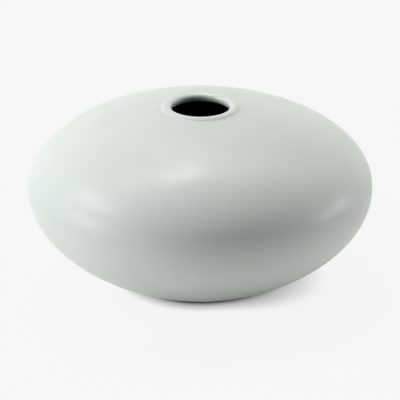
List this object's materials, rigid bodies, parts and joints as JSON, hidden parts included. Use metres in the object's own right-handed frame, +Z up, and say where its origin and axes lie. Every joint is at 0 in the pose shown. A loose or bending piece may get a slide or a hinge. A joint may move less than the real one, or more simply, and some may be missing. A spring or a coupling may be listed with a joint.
{
  "type": "pillow vase",
  "caption": "Wide flattened round ceramic vase with a small raised-lip mouth, a low foot ring and pale satin glaze, for holding a few stems.",
  "frame": {"origin": "on the table, at the centre of the foot ring's underside", "axes": "+Z up along the axis of the turned form, through the middle of the mouth; X and Y are alike"},
  "size_m": [0.22, 0.22, 0.1193],
  "materials": {
    "stoneware": "bare fired clay, grey-brown, fine grain",
    "slip": "fired clay slip",
    "celadon_glaze": "satin, very pale grey-green",
    "liner_glaze": "satin, dark"
  },
  "bodies": {
    "root": {"lower_bowl": "stoneware", "upper_dome": "stoneware", "luting_slip": "slip", "outer_glaze": "celadon_glaze", "inner_glaze": "liner_glaze", "base_glaze": "celadon_glaze"}
  },
  "joints": []
}
